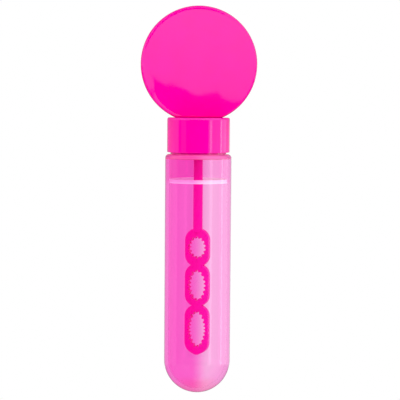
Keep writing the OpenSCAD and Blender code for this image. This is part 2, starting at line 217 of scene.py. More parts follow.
class WandSettings(bpy.types.PropertyGroup):
    """Sizes and colour of the dipping wand."""

    stem: length("Stem", "Diameter of the stem", 2.8 * MM)
    top: length("Top", "Height of the stem's upper end", framed("dipping_wand", 1, 2))
    tip: length("Tip", "Height of the wand's tip", framed("dipping_wand", 0, 2))
    throat: length("Throat", "Height at which the stem meets the loops", 51.05 * MM)
    top_waist: length("Upper waist", "Height of the upper waist", 39.85 * MM)
    low_waist: length("Lower waist", "Height of the lower waist", 27.25 * MM)
    top_waist_width: length("Upper waist width", "Width of the upper waist", 3.7 * MM)
    low_waist_width: length("Lower waist width", "Width of the lower waist", 3.1 * MM)
    throat_sink: length("Throat sink", "How deep the stem runs into its loop", 1 * MM)
    nib: length("Nib", "Radius of the rounded tip", 1.8 * MM)
    nib_height: length("Nib height", "How far the tip lies below its loop", 0.25 * MM)
    low_foot: length("Lowest loop's foot", "Thickness of its lower end", 2.9 * MM)
    low_head: length("Lowest loop's head", "Thickness of its upper end", 2.25 * MM)
    mid_end: length("Middle loop's ends", "Thickness of its two ends", 2 * MM)
    top_foot: length("Top loop's foot", "Thickness of its lower end", 2.6 * MM)
    top_head: length("Top loop's head", "Thickness of its upper end", 2.75 * MM)
    bevel: length("Bevel", "Bevel of the stem's upper end", 0.3 * MM)
    snap: length("Snap ring", "Height of the stem's snap ring", 81.65 * MM)
    snap_round: length("Snap radius", "Radius of the snap ring's section", 0.5 * MM)
    snap_proud: length("Snap width", "How far the snap ring stands out", 0.25 * MM)
    loop_width: length("Loop width", "Width of a loop", 7.4 * MM)
    loop_depth: length("Loop thickness", "Thickness of a loop", 2 * MM)
    limb: length("Limb", "Width of a loop's side to the tips of its teeth", 1.45 * MM)
    groove: length("Groove", "Radius of a groove", 0.4 * MM)
    groove_out: length("Groove offset", "How far a groove lies outside the teeth", 0.1 * MM)
    edge: length("Edge", "Rounding of the moulded edges", 0.18 * MM)
    grooves: bpy.props.IntVectorProperty(
        name="Grooves",
        description="Counts of grooves in the lowest, the middle and the top loop",
        default=(20, 16, 14),
        min=3,
    )
    turn: bpy.props.FloatProperty(
        name="Turn",
        description="Turn from the disc's plane",
        default=math.radians(-18),
        subtype="ANGLE",
    )
    plastic: colour("Colour", "Colour of the wand", "#F800AB")


class CapSettings(bpy.types.PropertyGroup):
    """Sizes and colour of the screw cap."""

    diameter: length("Diameter", "Outside diameter", 2 * framed("screw_cap", 1, 0))
    low: length("Skirt", "Height of the skirt's lower edge", 74.9 * MM)
    band: length("Band", "Height of the band's lower edge", framed("screw_cap", 0, 2))
    band_in: length("Band bore", "Diameter inside the band", 16.64 * MM)
    band_wall: length("Band wall", "Thickness of the band", 0.33 * MM)
    band_sink: length("Band sink", "Height of the band's join inside the skirt", 0.3 * MM)
    top: length("Top", "Height of the flat top", framed("screw_cap", 1, 2))
    bore: length("Bore", "Diameter inside the skirt", 17.64 * MM)
    deck: length("Deck", "Thickness of the flat top", 1.5 * MM)
    edge: length("Edge", "Rounding of the upper edge", 0.6 * MM)
    lower_edge: length("Lower rounding", "Rounding of the lower edge", 0.15 * MM)
    cap_thread: length("Cap thread", "Height at which its thread starts", 76.2 * MM)
    socket: length("Socket", "Outside diameter of the wand's socket", 6.4 * MM)
    socket_depth: length("Socket depth", "Length of the socket", 5 * MM)
    lead_in: length("Lead-in", "Bevel of the socket's mouth", 0.4 * MM)
    play: length("Play", "Gap round the wand's stem and the disc's tongue", 0.05 * MM)
    plastic: colour("Colour", "Colour of the cap and the disc", "#FF00A3")


class DiscSettings(bpy.types.PropertyGroup):
    """Sizes of the round disc."""

    diameter: length("Diameter", "Diameter of the disc", 2 * framed("head_disc", 1, 0))
    thickness: length("Thickness", "Thickness", 2 * framed("head_disc", 1, 1))
    top: length("Top", "Height of the disc's top", framed("head_disc", 1, 2))
    rim: length("Rim", "Rounding of the rim", 0.6 * MM)
    foot: length("Foot", "Rounding of the two lower edges", 0.8 * MM)
    tongue_length: length("Tongue length", "Length of the tongue", 9 * MM)
    tongue_depth: length("Tongue depth", "Depth of the tongue", 0.9 * MM)
    tongue_width: length("Tongue width", "Thickness of the tongue", 2 * MM)
    tongue_root: length("Tongue root", "How far it runs up into the disc", 0.3 * MM)
    foot_spare: length("Foot spare", "Gap from the foot's cutter to a face", 0.002 * MM)


class StudioSettings(bpy.types.PropertyGroup):
    """The floor's and the camera's places."""

    floor_drop: length("Floor drop", "How far the floor lies below the tube", 45 * MM)
    floor_size: length("Floor size", "Radius of the floor", 0.2)
    camera_back: length("Camera distance", "Distance in front of the tube's axis", 0.5)
    camera_height: length("Camera height", "Height above the tube's lowest point", 0.092)


SETTINGS = {
    "bubble_wand_tube": TubeSettings,
    "bubble_wand_liquid": LiquidSettings,
    "bubble_wand_wand": WandSettings,
    "bubble_wand_cap": CapSettings,
    "bubble_wand_disc": DiscSettings,
    "bubble_wand_studio": StudioSettings,
}


# ---- Shapes. Profiles are rows of (radius, height), in metres. ----


def arc(centre, radius, start, end, steps=PLAIN_ARC):
    """Points of a circle about centre, from one angle to another, in degrees."""
    a = np.radians(np.linspace(start, end, steps + 1))[:, None]
    return np.array(centre) + radius * np.hstack([np.cos(a), np.sin(a)])


def line(start, end, step):
    """Points of a straight line, at most step apart."""
    count = max(1, math.ceil(math.dist(start, end) / step))
    return np.linspace(start, end, count + 1)


def profile(*parts):
    """The parts' points in one row, each point once."""
    points = np.vstack([np.atleast_2d(np.array(part, float)) for part in parts])
    gaps = np.linalg.norm(np.diff(points, axis=0), axis=1)
    return points[np.r_[True, gaps > SAME]]


def turned(points, around=ROUND):
    """Grid of a profile carried round the Z axis: (r cos a, r sin a, z)."""
    a = np.linspace(0, 2 * np.pi, around, endpoint=False)
    r, z = points[:, :1], points[:, 1:]
    return np.stack([r * np.cos(a), r * np.sin(a), z + 0 * a], 2)


def skinned(name, grid, closed_rows=False):
    """An object whose faces join each grid point to its next row and column.

    Columns close on themselves, and rows do where closed_rows is set. A row whose
    points lie in one place becomes a pole.
    """
    rows, columns, _ = grid.shape
    ids = np.arange(rows * columns).reshape(rows, columns)
    low = ids if closed_rows else ids[:-1]
    high = np.roll(ids, -1, 0) if closed_rows else ids[1:]
    faces = np.stack([low, np.roll(low, -1, 1), np.roll(high, -1, 1), high], 2)
    mesh = bpy.data.meshes.new(name)
    mesh.from_pydata(grid.reshape(-1, 3), [], faces.reshape(-1, 4).tolist())
    shape = bmesh.new()
    shape.from_mesh(mesh)
    bmesh.ops.remove_doubles(shape, verts=shape.verts, dist=SAME)
    shape.to_mesh(mesh)
    shape.free()
    piece = bpy.data.objects.new(name, mesh)
    bpy.context.scene.collection.objects.link(piece)
    return piece


def bar(name, outline, reach):
    """A bar along X from -reach to reach; its outline runs from +Y towards +Z."""
    outline = np.array(outline, float)
    ends = np.hstack([np.full((len(outline), 1), reach), outline])
    start = ends * (-1, 1, 1)
    tips = [np.broadcast_to(end.mean(0), end.shape) for end in (start, ends)]
    return skinned(name, np.stack([tips[0], start, ends, tips[1]]))


def box_outline(width, low, high):
    """A rectangle's four corners, width across Y and from low to high along Z."""
    half = width / 2
    return [(half, low), (half, high), (-half, high), (-half, low)]


def merge(piece, tool, operation):
    """Leaves the piece's union, difference or intersection with the tool in its place."""
    cut = piece.modifiers.new("cut", "BOOLEAN")
    cut.operation, cut.solver, cut.object = operation, "MANIFOLD", tool
    evaluated = piece.evaluated_get(bpy.context.evaluated_depsgraph_get())
    mesh = bpy.data.meshes.new_from_object(evaluated)
    if not mesh.polygons:
        raise RuntimeError(f"{piece.name}: the {operation.lower()} left nothing")
    piece.modifiers.clear()
    piece.data = mesh
    bpy.data.objects.remove(tool)


def smoothed(piece, angle=SHARP):
    """Smooth shading everywhere but at edges sharper than angle, in degrees."""
    piece.data.shade_smooth()
    piece.data.set_sharp_from_angle(angle=math.radians(angle))
    return piece


def finish_piece(piece, body, node, finish):
    """Gives a piece its material and its body, and hides the CAD node that it replaces."""
    piece.data.materials.clear()
    piece.data.materials.append(finish)
    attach(piece, body)
    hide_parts(node)


def threaded(grid, wall, start, side):
    """Moves a grid's points on a round wall out (side 1) or in (side -1) by the thread.

    The ridge climbs THREAD_LEAD in a turn from the height start. Its share is 1 within
    the crest's half width, falls to 0 at the foot's, and fades to 0 at either end.
    """
    x, y, z = np.moveaxis(grid, 2, 0)
    on_wall = np.abs(np.hypot(x, y) - wall) < SAME
    angle = np.arctan2(y, x) % (2 * np.pi) / (2 * np.pi)
    share = np.zeros_like(z)
    for turn in range(math.ceil(THREAD_TURNS)):
        t = angle + turn
        away = np.abs(z - start - THREAD_LEAD * t)
        slope = (THREAD_FOOT / 2 - away) / ((THREAD_FOOT - THREAD_CREST) / 2)
        fade = np.minimum(t, THREAD_TURNS - t) / (THREAD_FADE * THREAD_TURNS)
        share = np.maximum(share, np.clip(slope, 0, 1) * np.clip(fade, 0, 1))
    out = 1 + np.where(on_wall, side * share * THREAD_HEIGHT / wall, 0)
    return np.stack([x * out, y * out, z], 2)


def soft_max(a, b, width):
    """The greater of two values, with the corner between them rounded over width."""
    share = np.clip(0.5 + (a - b) / (2 * width), 0, 1)
    return a * share + b * (1 - share) + width * share * (1 - share)


def far_hit(centre, ways, radius):
    """Distance along each way from the origin to a circle's far side, or 0."""
    along = ways @ np.array(centre)
    off = ways[:, 0] * centre[1] - ways[:, 1] * centre[0]
    inside = radius**2 - off**2
    hit = along + np.sqrt(np.maximum(inside, 0))
    return np.where((inside > 0) & (along > 0), hit, 0)


def stadium_hit(low, high, radius, ways):
    """Distance from the origin to the edge of two round ends joined by straight sides."""
    side = radius / np.maximum(np.abs(ways[:, 0]), SAME)
    z = side * ways[:, 1]
    low_end = far_hit((0, low), ways, radius)
    high_end = far_hit((0, high), ways, radius)
    return np.where(z > high, high_end, np.where(z < low, low_end, side))


def section(depth, edge):
    """A rounded rectangle's points, from its inner edge round by its front face.

    Gives each point's side (0 inner, 1 outer), its inset from that side and its depth.
    Every corner is a quarter circle with one more point on the flats beside it.
    """
    a = np.radians(np.linspace(0, 90, SECTION_POINTS))
    rise = edge * np.r_[0, 1 - np.cos(a), FLAT_SHARE]
    fall = edge * np.r_[FLAT_SHARE, 1 - np.sin(a), 0]
    sides = np.repeat([0, 1, 1, 0], len(rise))
    insets = np.r_[rise, -fall, -rise, fall]
    depths = np.r_[fall - depth, rise - depth, depth - fall, depth - rise]
    return sides, insets, depths


def loop_ring(name, s, hole, ends, grooves, from_groove, nib=None):
    """One loop as a closed band between its toothed hole and its outer edge.

    On the ray from the hole's centre at each station, the inner point is the greater of
    an ellipse's radius and the far side of the groove that the ray meets, and the outer
    point is where the ray leaves the loop's outline. A rounded section joins the two.
    """
    middle, half_high = (hole[0] + hole[1]) / 2, (hole[1] - hole[0]) / 2
    radius = s.loop_width / 2
    half_wide = radius - s.limb
    t = np.linspace(0, 2 * np.pi, GROOVE_ROUND * grooves, endpoint=False)
    ways = np.stack([half_wide * np.sin(t), half_high * np.cos(t)], 1)
    inner = np.linalg.norm(ways, axis=1)
    ways /= inner[:, None]
    # The grooves lie evenly along the ellipse, and so unevenly by angle.
    lean = (half_high - half_wide) / (half_high + half_wide) / 2
    for i in range(grooves):
        u = 2 * np.pi * (i + (1 - from_groove) / 2) / grooves
        at = u + lean * math.sin(2 * u)
        centre = (
            (half_wide + s.groove_out) * math.sin(at),
            (half_high + s.groove_out) * math.cos(at),
        )
        inner = soft_max(inner, far_hit(centre, ways, s.groove), TOOTH_ROUND)
    outer = stadium_hit(ends[0] - middle, ends[1] - middle, radius, ways)
    if nib:
        outer = np.maximum(outer, far_hit((0, nib[0] - middle), ways, nib[1]))
    sides, insets, depths = section(s.loop_depth / 2, s.edge)
    reach = inner + (outer - inner) * sides[:, None] + insets[:, None]
    y = np.broadcast_to(depths[:, None], reach.shape)
    grid = np.stack([reach * ways[:, 0], y, middle + reach * ways[:, 1]], 2)
    return skinned(name, grid, closed_rows=True)


# ---- Finishes. ----


def add(tree, kind, sockets=None, output=0, **settings):
    """Adds a node of that kind with its settings and sockets, and gives one output.

    Sockets go by name, or by number where names repeat. Map Range has its value at 0,
    what it maps from at 1 and 2, and what to at 3 and 4. A colour Mix has its factor at
    0 and its colours at 6 and 7, and Math and Vector Math have their operands from 0.
    """
    made = tree.nodes.new("ShaderNode" + kind)
    for name, value in settings.items():
        setattr(made, name, value)
    for name, value in (sockets or {}).items():
        if isinstance(value, bpy.types.NodeSocket):
            tree.links.new(value, made.inputs[name])
        elif made.inputs[name].type == "RGBA":
            made.inputs[name].default_value = (*value, 1)
        else:
            made.inputs[name].default_value = value
    return made.outputs[output] if made.outputs else made


def coated(name, shine):
    """A new material's Principled shader with its plain values, and its place."""
    finish = bpy.data.materials.new(name)
    finish.use_nodes = True
    tree = finish.node_tree
    shader = next(n for n in tree.nodes if n.type == "BSDF_PRINCIPLED")
    for socket, value in shine.items():
        shader.inputs[socket].default_value = value
    place = add(tree, "TexCoord", output="Object")
    return finish, tree, shader, place


def patches(tree, place, size, stretch=1.0, detail=2.0):
    """Noise with patches about size metres across, and stretch times as high."""
    scale = (1 / size, 1 / size, 1 / (size * stretch))
    sized = add(tree, "Mapping", {"Vector": place, "Scale": scale})
    return add(tree, "TexNoise", {"Vector": sized, "Scale": 1.0, "Detail": detail})


def dressed(tree, shader, tint, rough, height, distance):
    """Links a shader's colour, roughness and a bump of that height in metres."""
    bump = add(tree, "Bump", {"Height": height, "Distance": distance})
    for socket, value in (("Base Color", tint), ("Roughness", rough), ("Normal", bump)):
        tree.links.new(value, shader.inputs[socket])


def clear_polystyrene(tube, liquid):
    """Injection-moulded clear polystyrene with a pink dye.

    It gives a glassy, hard gloss with faint upright flow waves from the mould. Its colour
    is painted darker on the left and paler on the right, as painted shade and painted light
    for light that falls from the right, and darker above the liquid, as painted shade.
    """
    shine = {"Transmission Weight": 1, "IOR": CLEAR_INDEX}
    finish, tree, shader, place = coated("clear_pink_polystyrene", shine)
    spread = add(tree, "SeparateXYZ", {0: place})
    x, z = spread.node.outputs[0], spread.node.outputs[2]
    # Painted shade on the left and painted light on the right: the tint runs from deep to pale
    # across the tube.
    across = add(tree, "MapRange", {0: x, 1: SIDE_LIGHT_LEFT, 2: SIDE_LIGHT_RIGHT}, **SMOOTH)
    tint = add(tree, "Mix", {0: across, 6: tube.deep, 7: tube.pale}, **MIXED)
    # Painted shade: above the liquid the wall's colour is darkened, less so on the right.
    dry = {0: z, 1: liquid.level, 2: liquid.level + DRY_SHADE_EDGE}
    left = add(tree, "MapRange", {0: across, 3: 1, 4: DRY_SHADE_RIGHT})
    dry = {0: add(tree, "MapRange", dry), 1: left}
    dry = add(tree, "Math", dry, operation="MULTIPLY")
    tint = add(tree, "Mix", {0: dry, 6: tint, 7: tube.dry}, **TIMES)
    flow = patches(tree, place, FLOW, FLOW_STRETCH)
    cloud = add(tree, "MapRange", {0: flow, **MOTTLED, 4: FLOW_PALE})
    tint = add(tree, "Mix", {0: cloud, 6: tint, 7: WHITE}, **MIXED)
    low = add(tree, "MapRange", {0: z, 1: BLUSH_FULL, 2: BLUSH_END, 3: 1, 4: 0}, **SMOOTH)
    tint = add(tree, "Mix", {0: low, 6: tint, 7: tube.blush}, **TIMES)
    # The shoulder's solid ring is made part matt and deeper pink: a painted glow for the light
    # that it leads around in itself.
    foot = tube.shoulder - tube.wall
    ring = add(tree, "MapRange", {0: z, 1: foot - RING_EDGE, 2: foot})
    above = {0: z, 1: tube.shoulder, 2: tube.shoulder + RING_EDGE, 3: 1, 4: 0}
    ring = {0: ring, 1: add(tree, "MapRange", above)}
    ring = add(tree, "Math", ring, operation="MULTIPLY")
    clear = add(tree, "MapRange", {0: ring, 3: 1, 4: RING_CLEAR})
    tree.links.new(clear, shader.inputs["Transmission Weight"])
    tint = add(tree, "Mix", {0: ring, 6: tint, 7: tube.ring}, **TIMES)
    rough = add(tree, "MapRange", {0: flow, **MOTTLED, 4: WALL_ROUGH})
    dressed(tree, shader, tint, rough, flow, FLOW_HEIGHT)
    lit_through(tree, shader, TUBE_PASSES)
    dye = add(tree, "VolumeAbsorption", {"Color": tube.dye, "Density": DYE_DENSITY})
    output = next(n for n in tree.nodes if n.type == "OUTPUT_MATERIAL")
    tree.links.new(dye, output.inputs["Volume"])
    return finish


def soap_water(liquid):
    """Clear soap water with a white film on its surface, a painted highlight
    for the light that the surface reflects from above.

    Its index is set just above air's, not water's 1.33: the photograph shows the wand
    at its true width through the liquid, which a full tube of water would magnify.
    """
    shine = {"Transmission Weight": 1, "IOR": LIQUID_INDEX}
    finish, tree, shader, place = coated("soap_water", shine)
    haze = patches(tree, place, HAZE)
    z = add(tree, "SeparateXYZ", {0: place}, 2)
    # Painted highlight: a white, nearly opaque film just below the level.
    painted_gleam = {0: z, 1: liquid.level - PAINTED_GLEAM_LOW, 2: liquid.level - PAINTED_GLEAM_FULL}
    painted_gleam = add(tree, "MapRange", painted_gleam)
    clear = add(tree, "MapRange", {0: painted_gleam, 3: 1, 4: PAINTED_GLEAM_CLEAR})
    tree.links.new(clear, shader.inputs["Transmission Weight"])
    cloud = add(tree, "MapRange", {0: haze, **MOTTLED, 4: HAZE_PALE})
    tint = add(tree, "Mix", {0: cloud, 6: liquid.body, 7: WHITE}, **MIXED)
    tint = add(tree, "Mix", {0: painted_gleam, 6: tint, 7: WHITE}, **MIXED)
    rough = add(tree, "MapRange", {0: haze, 4: LIQUID_ROUGH})
    dressed(tree, shader, tint, rough, haze, HAZE_HEIGHT)
    lit_through(tree, shader, LIQUID_PASSES)
    return finish


def gloss_polypropylene(name, plastic, rough, ior=DRY_INDEX, through=None, painted_shade=None):
    """Injection-moulded, pigmented polypropylene.

    It gives an even, deep colour under a waxy gloss, with the mould's fine grain in the
    gloss and faint flow clouds in the pigment. The painted shade setting holds the axes that
    count, a centre and the distances from it between which the colour is darkened: painted
    shade along the disc's rim and on the cap's band.
    """
    finish, tree, shader, place = coated(name, {"IOR": ior})
    clouds = patches(tree, place, CLOUD, detail=CLOUD_DETAIL)
    darker = tuple(PIGMENT_SHADE * c for c in plastic)
    share = add(tree, "MapRange", {0: clouds, **PIGMENTED})
    tint = add(tree, "Mix", {0: share, 6: plastic, 7: darker}, **MIXED)
    # Painted shade: the colour darkens between the two distances from the centre.
    if painted_shade:
        across, centre, start, end = painted_shade
        away = add(tree, "VectorMath", {0: place, 1: centre}, operation="SUBTRACT")
        away = add(tree, "VectorMath", {0: away, 1: across}, operation="MULTIPLY")
        away = add(tree, "VectorMath", {0: away}, "Value", operation="LENGTH")
        edge = add(tree, "MapRange", {0: away, 1: start, 2: end})
        deep = tuple(PAINTED_SHADE_SHARE * c for c in plastic)
        tint = add(tree, "Mix", {0: edge, 6: tint, 7: deep}, **MIXED)
    rough = add(tree, "MapRange", {0: clouds, **MOTTLED, 3: rough[0], 4: rough[1]})
    dressed(tree, shader, tint, rough, patches(tree, place, GRAIN), GRAIN_HEIGHT)
    if through:
        lit_through(tree, shader, through)
    return finish


def polyethylene_foam():
    """Closed-cell polyethylene foam, cut from sheet: matt, off-white, with fine cells."""
    finish, tree, shader, place = coated("polyethylene_foam", {})
    cells = add(tree, "TexVoronoi", {"Vector": place, "Scale": 1 / CELL})
    tint = {0: cells, 6: linear("#F7F5F0"), 7: linear("#DEDAD2")}
    tint = add(tree, "Mix", tint, **MIXED)
    rough = add(tree, "MapRange", {0: cells, 3: FOAM_ROUGH[0], 4: FOAM_ROUGH[1]})
    dressed(tree, shader, tint, rough, cells, CELL_HEIGHT)
    return finish


def window(tree, value, low, high, soft):
    """1 between low and high, falling smoothly to 0 over soft beyond each."""
    rise = add(tree, "MapRange", {0: value, 1: low - soft, 2: low + soft}, **SMOOTH)
    fall = {0: value, 1: high - soft, 2: high + soft, 3: 1, 4: 0}
    fall = add(tree, "MapRange", fall, **SMOOTH)
    return add(tree, "Math", {0: rise, 1: fall}, operation="MULTIPLY")


def panels(tree, rows, turn, rise):
    """The sum of the rows' windows of bearing and height, each times its strength."""
    total = 0.0
    for low, high, side_soft, bottom, top, edge_soft, strength in rows:
        across = window(tree, turn, low, high, side_soft)
        up = window(tree, rise, bottom, top, edge_soft)
        share = add(tree, "Math", {0: across, 1: up}, operation="MULTIPLY")
        sockets = {0: share, 1: strength, 2: total}
        total = add(tree, "Math", sockets, operation="MULTIPLY_ADD")
    return total


def lit_through(tree, shader, tint):
    """Lets light through plastic as a tinted shadow, so that what is inside is lit."""
    passed = add(tree, "BsdfTransparent", {"Color": tint})
    shadow = add(tree, "LightPath", output="Is Shadow Ray")
    sides = {0: shadow, 1: shader.outputs[0], 2: passed}
    both = add(tree, "MixShader", sides)
    output = next(n for n in tree.nodes if n.type == "OUTPUT_MATERIAL")
    tree.links.new(both, output.inputs["Surface"])


def softboxes(world):
    """Lights the world with soft panels, each a window of bearing and height.

    The bearing is counted from the front, positive to the right, and the height from
    the horizon, both in degrees. The camera sees plain white, also straight through
    clear plastic. Where the plastic's wall has turned the light aside first, white shows
    in full behind the object and in part in front of it.
    """
    world.use_nodes = True
    tree = world.node_tree
    tree.nodes.clear()
    way = add(tree, "SeparateXYZ", {0: add(tree, "TexCoord", output="Generated")}).node
    x, y, z = way.outputs
    front = add(tree, "Math", {0: y, 1: -1}, operation="MULTIPLY")
    turn = add(tree, "Math", {0: x, 1: front}, operation="ARCTAN2")
    turn = add(tree, "Math", {0: turn}, operation="DEGREES")
    rise = add(tree, "Math", {0: z}, operation="ARCSINE")
    rise = add(tree, "Math", {0: rise}, operation="DEGREES")
    path = add(tree, "LightPath").node.outputs
    flags = {0: panels(tree, FLAGS, turn, rise), 1: path["Is Glossy Ray"]}
    flags = add(tree, "Math", flags, operation="MULTIPLY")
    kept = add(tree, "Math", {0: 1.0, 1: flags}, operation="SUBTRACT")
    light = {0: panels(tree, SOFTBOXES, turn, rise), 1: kept}
    light = add(tree, "Math", light, operation="MULTIPLY")
    straight = {0: path["Glossy Depth"], 1: 1}
    straight = add(tree, "Math", straight, operation="LESS_THAN")
    behind = add(tree, "MapRange", {0: y, 1: 0.0, 2: BACK_EDGE, 3: FRONT_WHITE})
    clear = add(tree, "Math", {0: straight, 1: behind}, operation="MAXIMUM")
    clear = {0: clear, 1: path["Is Transmission Ray"], 2: path["Is Camera Ray"]}
    seen = add(tree, "Math", clear, operation="MULTIPLY_ADD")
    strength = add(tree, "Mix", {0: seen, 2: light, 3: 1.0})
    sky = add(tree, "Background", {"Color": WHITE, "Strength": strength})
    add(tree, "OutputWorld", {0: sky})


def pale_floor():
    """Matt white paper.

    It shows the object's shadow and is plain white elsewhere. Clear plastic shows it as
    plain white, and gloss shows it dimmer.
    """
    finish, tree, shader, place = coated("white_paper", {})
    fibre = patches(tree, place, FIBRE)
    tint = {0: fibre, 6: linear("#F4F4F4"), 7: linear("#F8F8F8")}
    tint = add(tree, "Mix", tint, **MIXED)
    rough = add(tree, "MapRange", {0: fibre, 3: PAPER_ROUGH[0], 4: PAPER_ROUGH[1]})
    dressed(tree, shader, tint, rough, fibre, FIBRE_HEIGHT)
    path = add(tree, "LightPath").node.outputs
    camera, glossy = path["Is Camera Ray"], path["Is Glossy Ray"]
    glow = add(tree, "Math", {0: camera, 1: FLOOR_GLOW}, operation="MULTIPLY")
    tree.links.new(glow, shader.inputs["Emission Strength"])
    shader.inputs["Emission Color"].default_value = (*WHITE, 1)
    clear = path["Is Transmission Ray"]
    dim = add(tree, "Math", {0: glossy, 1: LOW_GLOSS}, operation="MULTIPLY")
    dim = add(tree, "Math", {0: dim, 1: clear}, operation="MAXIMUM")
    white = add(tree, "Emission", {"Color": WHITE, "Strength": dim})
    either = add(tree, "Math", {0: glossy, 1: clear}, operation="MAXIMUM")
    sides = {0: either, 1: shader.outputs[0], 2: white}
    both = add(tree, "MixShader", sides)
    output = next(n for n in tree.nodes if n.type == "OUTPUT_MATERIAL")
    tree.links.new(both, output.inputs["Surface"])
    return finish


# ---- Operators. ----


class BUBBLE_WAND_OT_tube(bpy.types.Operator):
    """Builds the clear tube with its round bottom, shoulder and threaded neck"""

    bl_idname = "bubble_wand.tube"
    bl_label = "Build the tube"

    def execute(self, context):
        s = context.scene.bubble_wand_tube
        r, bore, neck = s.diameter / 2, s.diameter / 2 - s.wall, s.neck / 2
        mouth, corner = neck - s.neck_wall, s.shoulder - s.shoulder_round
        slope_top = s.shoulder - s.wall
        soft = s.lip_round
        shape = profile(
            arc((0, r), r, -90, 0, BOTTOM_ARC),
            line((r, r), (r, corner - GUARD), LONG_STEP),
            line((r, corner - GUARD + GUARD_STEP), (r, corner), GUARD_STEP),
            arc((r - s.shoulder_round, corner), s.shoulder_round, 0, 90),
            line((neck, s.shoulder), (neck, s.lip - soft), THREAD_STEP),
            arc((neck - soft, s.lip - soft), soft, 0, 90, SMALL_ARC),
            arc((mouth + soft, s.lip - soft), soft, 90, 180, SMALL_ARC),
            line((mouth, s.lip - soft), (mouth, slope_top), MOUTH_STEP),
            line((mouth, slope_top), (bore, slope_top - s.slope), SLOPE_STEP),
            line((bore, slope_top - s.slope), (bore, r), LONG_STEP),
            arc((0, r), bore, 0, -90, BOTTOM_ARC),
        )
        grid = threaded(turned(shape), neck, s.neck_thread, 1)
        tube = smoothed(skinned("tube", grid))
        finish = clear_polystyrene(s, context.scene.bubble_wand_liquid)
        finish_piece(tube, "tube", "bottle", finish)
        tube.visible_diffuse = False  # what is inside is lit by the world, past the wall
        return {"FINISHED"}


class BUBBLE_WAND_OT_liquid(bpy.types.Operator):
    """Fills the tube with bubble liquid up to its level, with a curved edge at the wall"""

    bl_idname = "bubble_wand.liquid"
    bl_label = "Fill in the liquid"

    def execute(self, context):
        s, tube = context.scene.bubble_wand_liquid, context.scene.bubble_wand_tube
        middle = tube.diameter / 2
        r = middle - tube.wall - s.gap
        shape = profile(
            arc((0, middle), r, -90, 0, BOTTOM_ARC),
            line((r, middle), (r, s.level + s.climb), LONG_STEP),
            arc((r - s.climb, s.level + s.climb), s.climb, 0, -90),
            line((r - s.climb, s.level), (0, s.level), LEVEL_STEP),
        )
        liquid = smoothed(skinned("liquid", turned(shape)), LIQUID_SHARP)
        finish_piece(liquid, "tube", "bubble_liquid", soap_water(s))
        liquid.visible_diffuse = False  # as with the tube
        return {"FINISHED"}


class BUBBLE_WAND_OT_wand(bpy.types.Operator):
    """Builds the dipping wand: a stem with a snap ring, and three grooved loops"""

    bl_idname = "bubble_wand.wand"
    bl_label = "Build the dipping wand"

    def execute(self, context):
        s = context.scene.bubble_wand_wand
        r, radius = s.stem / 2, s.loop_width / 2
        low, high = s.low_waist, s.top_waist
        # How far a round end's centre lies from the waist's, tip's or stem's chord.
        low_drop = math.sqrt(radius**2 - s.low_waist_width**2 / 4)
        top_drop = math.sqrt(radius**2 - s.top_waist_width**2 / 4)
        stem_drop = math.sqrt(radius**2 - r**2)
        ring, out = s.snap_round, s.snap_proud
        reach = math.degrees(math.acos((ring - out) / ring))
        shape = profile(
            (0, s.throat - s.throat_sink),
            line((r, s.throat - s.throat_sink), (r, s.snap - ring), MOUTH_STEP),
            arc((r + out - ring, s.snap), ring, -reach, reach),
            line((r, s.snap + ring), (r, s.top - s.bevel), MOUTH_STEP),
            (r - s.bevel, s.top),
            (0, s.top),
        )
        wand = skinned("wand", turned(shape, FEW_ROUND))
        # Each loop's name, its hole's ends, its round ends' centres, whether a groove
        # lies at its top, and its nib.
        loops = (
            ("low", (s.tip + s.low_foot, low - s.low_head),
             (s.tip + s.nib_height + radius, low - low_drop), 0, (s.tip + s.nib, s.nib)),
            ("mid", (low + s.mid_end, high - s.mid_end),
             (low + low_drop, high - top_drop), 1, None),
            ("top", (high + s.top_foot, s.throat - s.top_head),
             (high + top_drop, s.throat - stem_drop), 1, None),
        )
        for (name, hole, ends, start, nib), count in zip(loops, s.grooves):
            merge(wand, loop_ring(name, s, hole, ends, count, start, nib), "UNION")
        # The wand was built in the disc's plane. It is now turned about the Z axis.
        co = np.empty(len(wand.data.vertices) * 3)
        wand.data.vertices.foreach_get("co", co)
        c, n = math.cos(s.turn), math.sin(s.turn)
        co = co.reshape(-1, 3) @ np.array([[c, n, 0], [-n, c, 0], [0, 0, 1]])
        wand.data.vertices.foreach_set("co", co.ravel())
        smoothed(wand, WAND_SHARP)
        # The liquid that wets it weakens its gloss, so its index is set low.
        slot = "magenta_polypropylene"
        plastic = gloss_polypropylene(slot, s.plastic, SATIN, WET_INDEX)
        finish_piece(wand, "wand", "dipping_wand", plastic)
        return {"FINISHED"}


